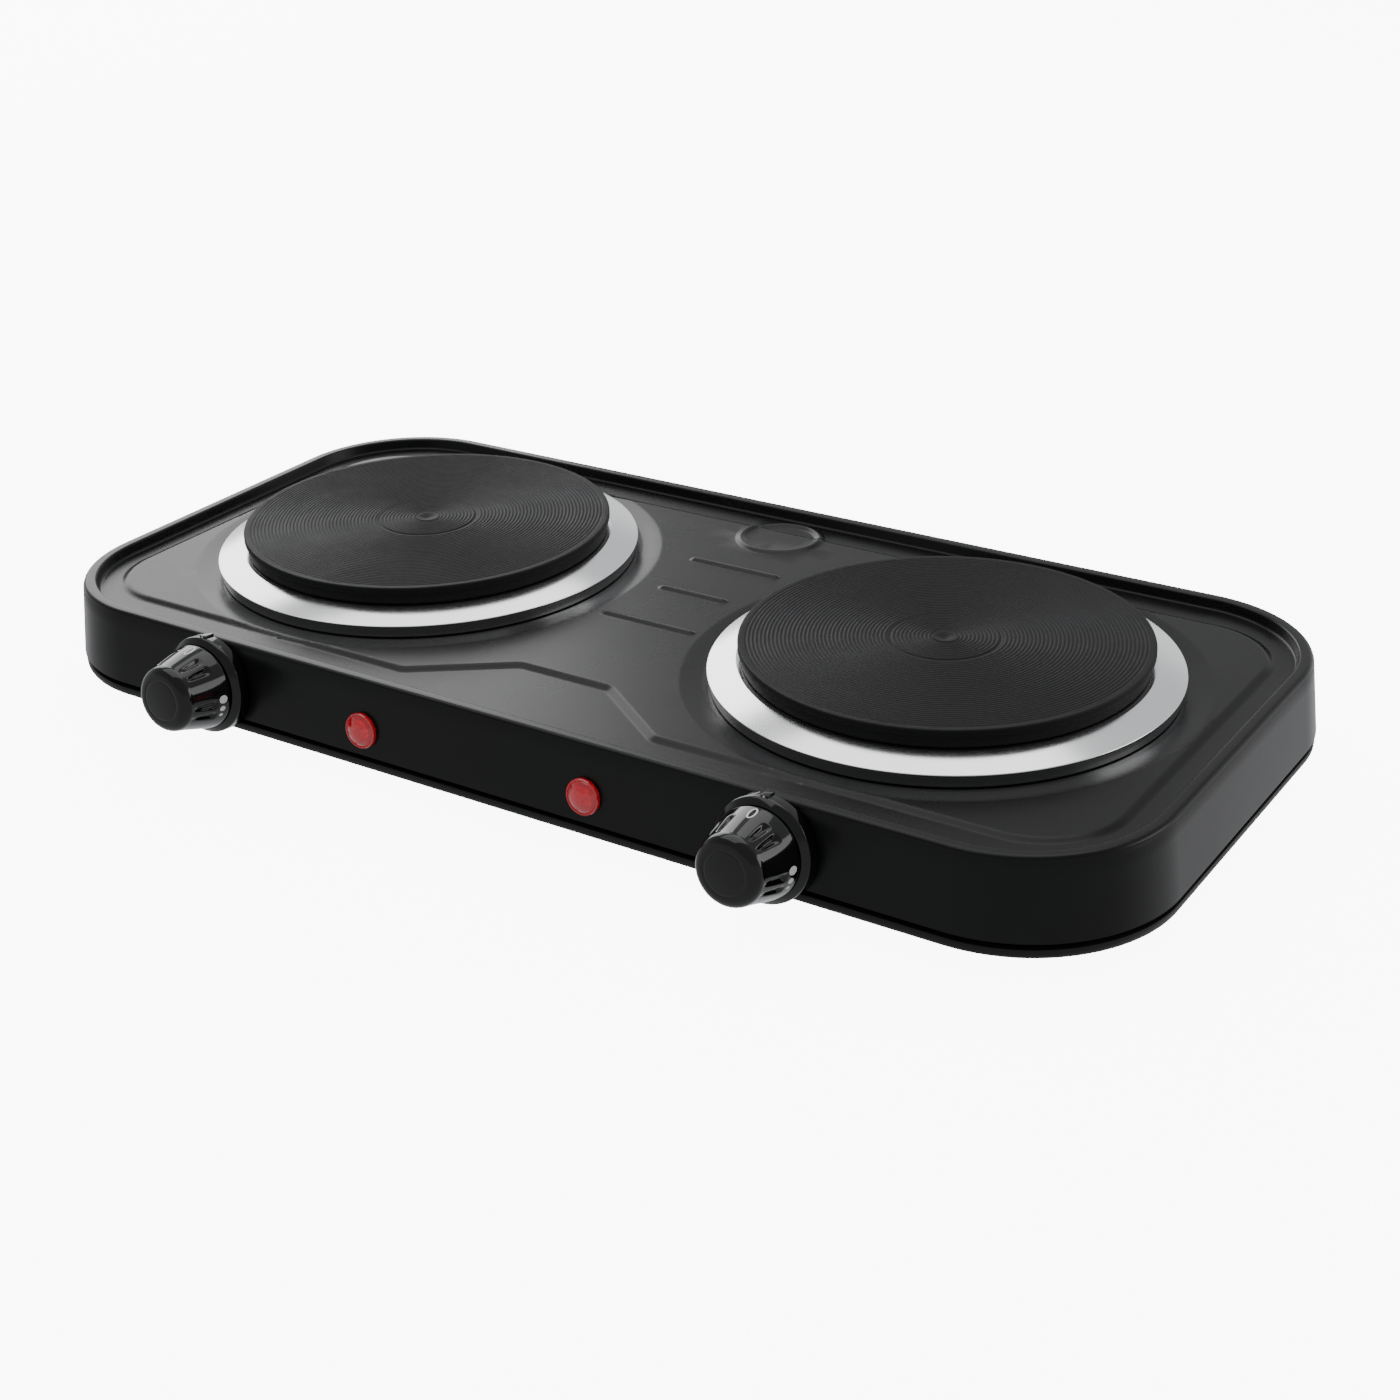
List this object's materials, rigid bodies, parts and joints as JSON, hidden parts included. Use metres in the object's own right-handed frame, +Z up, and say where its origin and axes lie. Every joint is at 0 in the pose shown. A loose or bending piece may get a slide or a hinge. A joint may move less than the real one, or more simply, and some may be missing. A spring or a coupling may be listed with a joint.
{
  "type": "hot plate burner",
  "caption": "Free-standing electric hot plate: round cast-iron plates in steel trim rings on a low pressed housing, with rotary controls and red indicator lamps at the front.",
  "frame": {"origin": "middle of the whole object's footprint, on the surface that the feet stand on", "axes": "+X along the length, to the right as seen from the controls; +Y from the controls to the back; +Z up"},
  "size_m": [0.4912, 0.2752, 0.0576],
  "materials": {
    "enamel": "satin",
    "pan_paint": "satin",
    "cast_iron": "matt, turned in fine concentric rings",
    "polished_steel": "polished",
    "plain_steel": "zinc plated",
    "knob_plastic": "gloss",
    "red_lens": "clear red gloss",
    "bulb_glass": "clear",
    "ceramic": "unglazed steatite ceramic",
    "brass": "bright",
    "bimetal": "rolled",
    "rubber": "matt",
    "live_sleeve": "satin",
    "neutral_sleeve": "satin",
    "earth_sleeve": "satin"
  },
  "bodies": {
    "body": {"top_housing": "enamel", "base_pan": "pan_paint", "foot_front_left": "rubber", "foot_front_right": "rubber", "foot_rear_left": "rubber", "foot_rear_right": "rubber", "base_screw_front_left": "plain_steel", "base_screw_front_right": "plain_steel", "base_screw_rear_left": "plain_steel", "base_screw_rear_right": "plain_steel", "left_plate": "cast_iron", "left_plate_cover": "plain_steel", "left_trim_ring": "polished_steel", "left_clamp_strap": "plain_steel", "left_plate_nut": "plain_steel", "left_plate_terminal": "ceramic", "left_knob_bezel": "knob_plastic", "left_thermostat_frame": "plain_steel", "left_insulator_stack": "ceramic", "left_contact_leaf": "brass", "left_bimetal_strip": "bimetal", "left_control_screw_a": "plain_steel", "left_control_screw_b": "plain_steel", "left_lamp_lens": "red_lens", "left_neon_bulb": "bulb_glass", "left_lamp_clip": "plain_steel", "left_live_lead": "live_sleeve", "left_plate_lead": "live_sleeve", "left_neutral_lead": "neutral_sleeve", "right_plate": "cast_iron", "right_plate_cover": "plain_steel", "right_trim_ring": "polished_steel", "right_clamp_strap": "plain_steel", "right_plate_nut": "plain_steel", "right_plate_terminal": "ceramic", "right_knob_bezel": "knob_plastic", "right_thermostat_frame": "plain_steel", "right_insulator_stack": "ceramic", "right_contact_leaf": "brass", "right_bimetal_strip": "bimetal", "right_control_screw_a": "plain_steel", "right_control_screw_b": "plain_steel", "right_lamp_lens": "red_lens", "right_neon_bulb": "bulb_glass", "right_lamp_clip": "plain_steel", "right_live_lead": "live_sleeve", "right_plate_lead": "live_sleeve", "right_neutral_lead": "neutral_sleeve", "cord_gland": "rubber", "terminal_block": "ceramic", "earth_screw": "brass", "earth_lead": "earth_sleeve"},
    "left_control": {"left_knob": "knob_plastic", "left_control_shaft": "plain_steel"},
    "right_control": {"right_knob": "knob_plastic", "right_control_shaft": "plain_steel"}
  },
  "joints": [
    {"name": "left_control_turn", "type": "hinge", "parent": "body", "child": "left_control", "pos_m": [-0.1366, -0.10811, 0.0272], "axis": [0, 0.9935, -0.1136], "range_deg": [0, 270]},
    {"name": "right_control_turn", "type": "hinge", "parent": "body", "child": "right_control", "pos_m": [0.1206, -0.10811, 0.0272], "axis": [0, 0.9935, -0.1136], "range_deg": [0, 270]}
  ]
}
